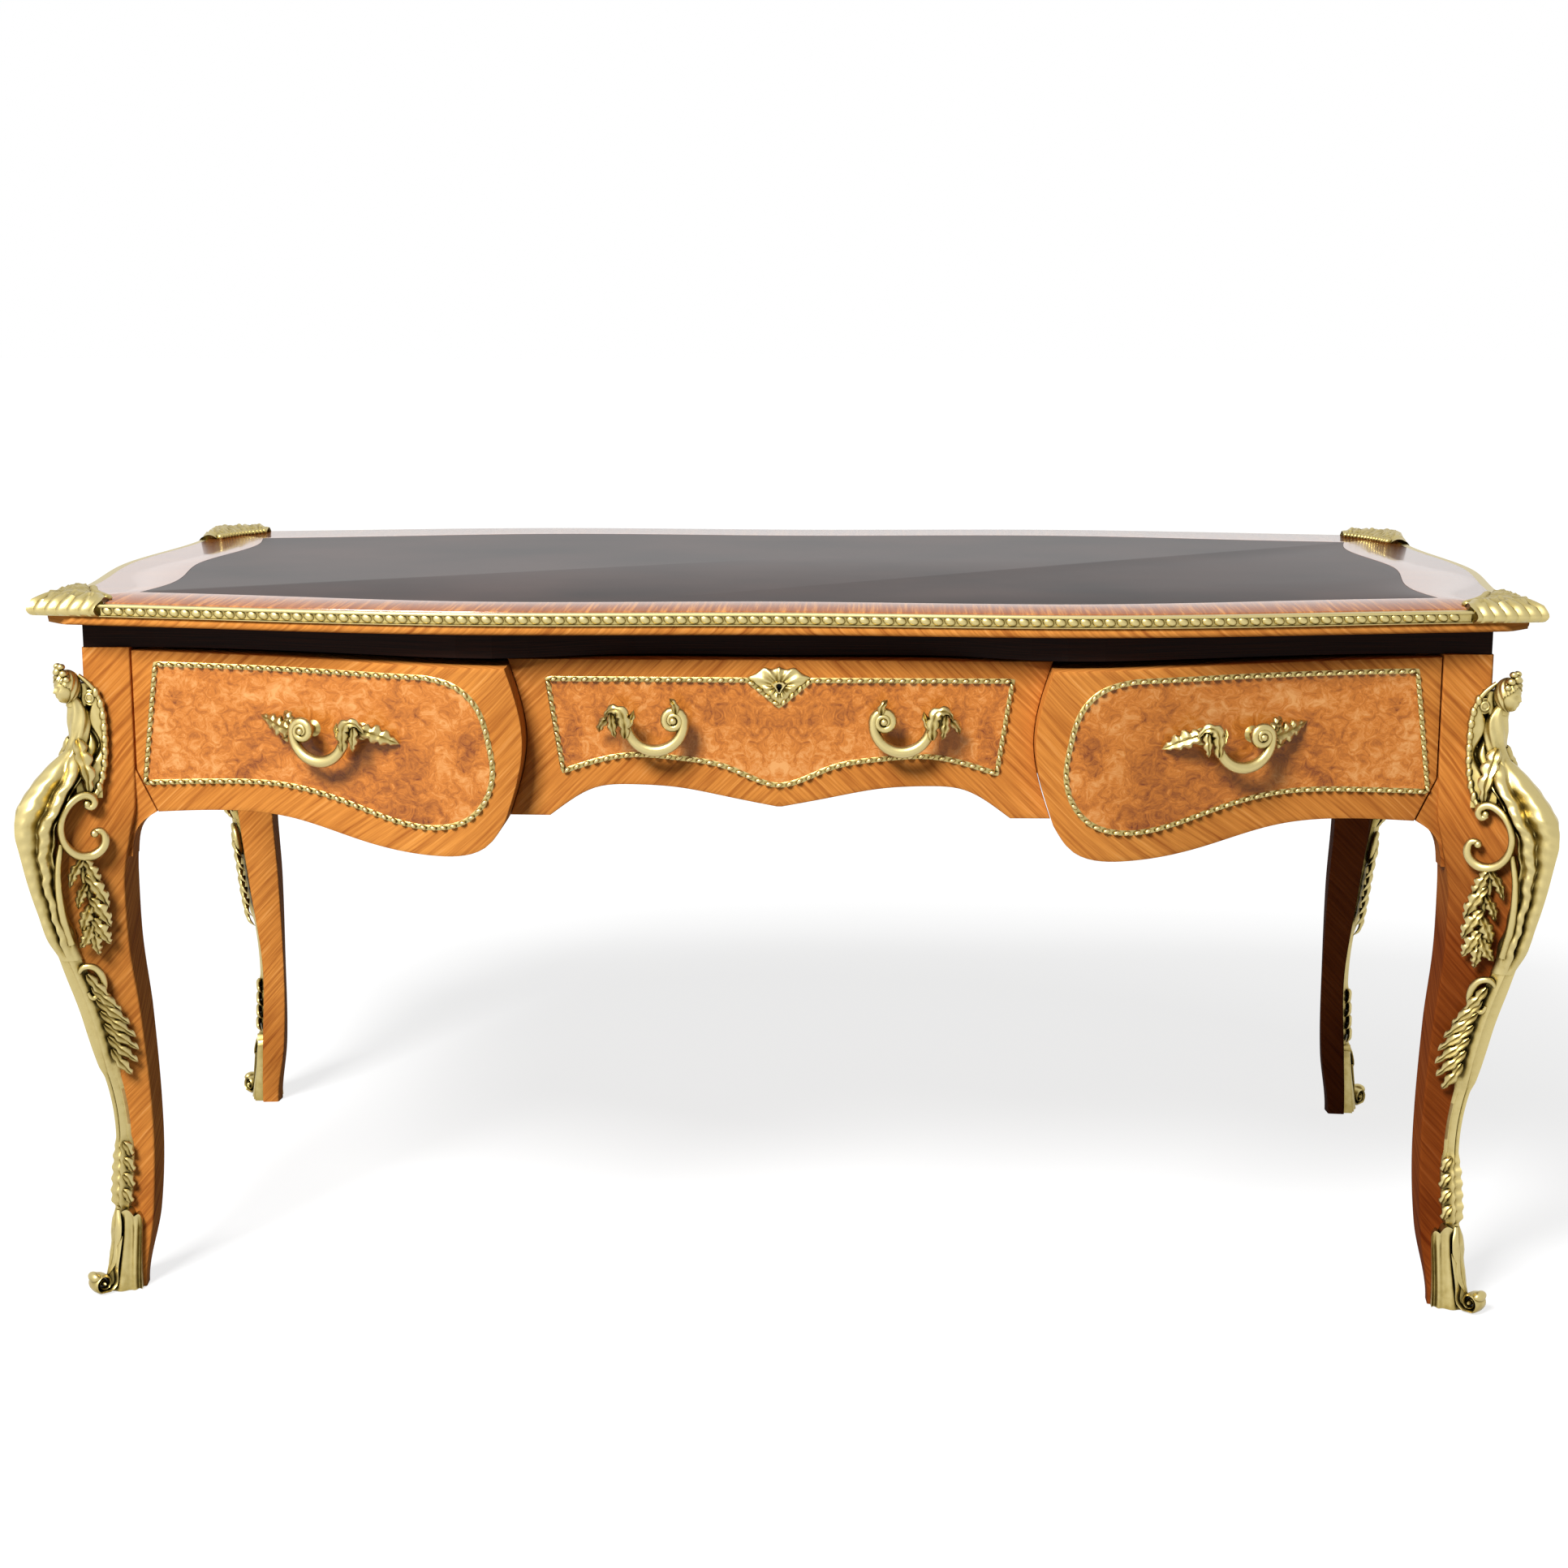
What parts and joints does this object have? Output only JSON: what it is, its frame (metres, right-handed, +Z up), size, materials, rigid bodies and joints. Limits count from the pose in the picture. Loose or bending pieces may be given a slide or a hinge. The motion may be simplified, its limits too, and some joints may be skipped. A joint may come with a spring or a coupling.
{
  "type": "writing desk",
  "caption": "Serpentine leather-topped writing desk with shaped drawers that slide out, a drawer lock bolt, and cabriole legs carrying gilt mounts.",
  "frame": {"origin": "On the floor under the middle of the desk.", "axes": "+X runs along the desk to the right as seen from in front of the drawers, the drawers open towards -Y, and +Z is up."},
  "size_m": [1.6242, 0.9002, 0.785],
  "materials": {
    "kingwood_veneer": "polished",
    "ebonised_wood": "polished",
    "oak": "waxed",
    "leather": "polished",
    "gilt_bronze": "gilt",
    "steel": "filed"
  },
  "bodies": {
    "desk": {"apron_beads": "gilt_bronze", "bust_mount_front_left": "gilt_bronze", "bust_mount_front_right": "gilt_bronze", "bust_mount_rear_left": "gilt_bronze", "bust_mount_rear_right": "gilt_bronze", "corner_mount_front_left": "gilt_bronze", "corner_mount_front_right": "gilt_bronze", "corner_mount_rear_left": "gilt_bronze", "corner_mount_rear_right": "gilt_bronze", "drawer_runners": "oak", "frieze_rail_front": "ebonised_wood", "frieze_rail_left": "ebonised_wood", "frieze_rail_rear": "ebonised_wood", "frieze_rail_right": "ebonised_wood", "leg_chute_front_left": "gilt_bronze", "leg_chute_front_right": "gilt_bronze", "leg_chute_rear_left": "gilt_bronze", "leg_chute_rear_right": "gilt_bronze", "leg_front_left": "kingwood_veneer", "leg_front_right": "kingwood_veneer", "leg_rear_left": "kingwood_veneer", "leg_rear_right": "kingwood_veneer", "lower_rails": "oak", "partitions": "oak", "rear_apron": "kingwood_veneer", "rear_fittings": "gilt_bronze", "sabot_front_left": "gilt_bronze", "sabot_front_right": "gilt_bronze", "sabot_rear_left": "gilt_bronze", "sabot_rear_right": "gilt_bronze", "side_apron_left": "kingwood_veneer", "side_apron_right": "kingwood_veneer", "top_edge_front": "gilt_bronze", "top_edge_left": "gilt_bronze", "top_edge_rear": "gilt_bronze", "top_edge_right": "gilt_bronze", "top_leather": "leather", "top_panel": "kingwood_veneer"},
    "left_drawer": {"left_drawer_front": "kingwood_veneer", "left_drawer_sides": "oak", "left_drawer_back": "oak", "left_drawer_bottom": "oak", "left_drawer_bead": "gilt_bronze", "left_handle": "gilt_bronze"},
    "centre_drawer": {"centre_drawer_front": "kingwood_veneer", "centre_drawer_sides": "oak", "centre_drawer_back": "oak", "centre_drawer_bottom": "oak", "centre_drawer_bead": "gilt_bronze", "centre_handles": "gilt_bronze", "escutcheon": "gilt_bronze", "lock_case": "steel"},
    "right_drawer": {"right_drawer_front": "kingwood_veneer", "right_drawer_sides": "oak", "right_drawer_back": "oak", "right_drawer_bottom": "oak", "right_drawer_bead": "gilt_bronze", "right_handle": "gilt_bronze"},
    "lock": {"lock_bolt": "steel"}
  },
  "joints": [
    {"name": "left_drawer_slide", "type": "slide", "parent": "desk", "child": "left_drawer", "axis": [0, -1, 0], "range_m": [0, 0.38]},
    {"name": "centre_drawer_slide", "type": "slide", "parent": "desk", "child": "centre_drawer", "axis": [0, -1, 0], "range_m": [0, 0.38]},
    {"name": "right_drawer_slide", "type": "slide", "parent": "desk", "child": "right_drawer", "axis": [0, -1, 0], "range_m": [0, 0.38]},
    {"name": "lock_bolt_slide", "type": "slide", "parent": "centre_drawer", "child": "lock", "axis": [0, 0, 1], "range_m": [0, 0.009]}
  ]
}
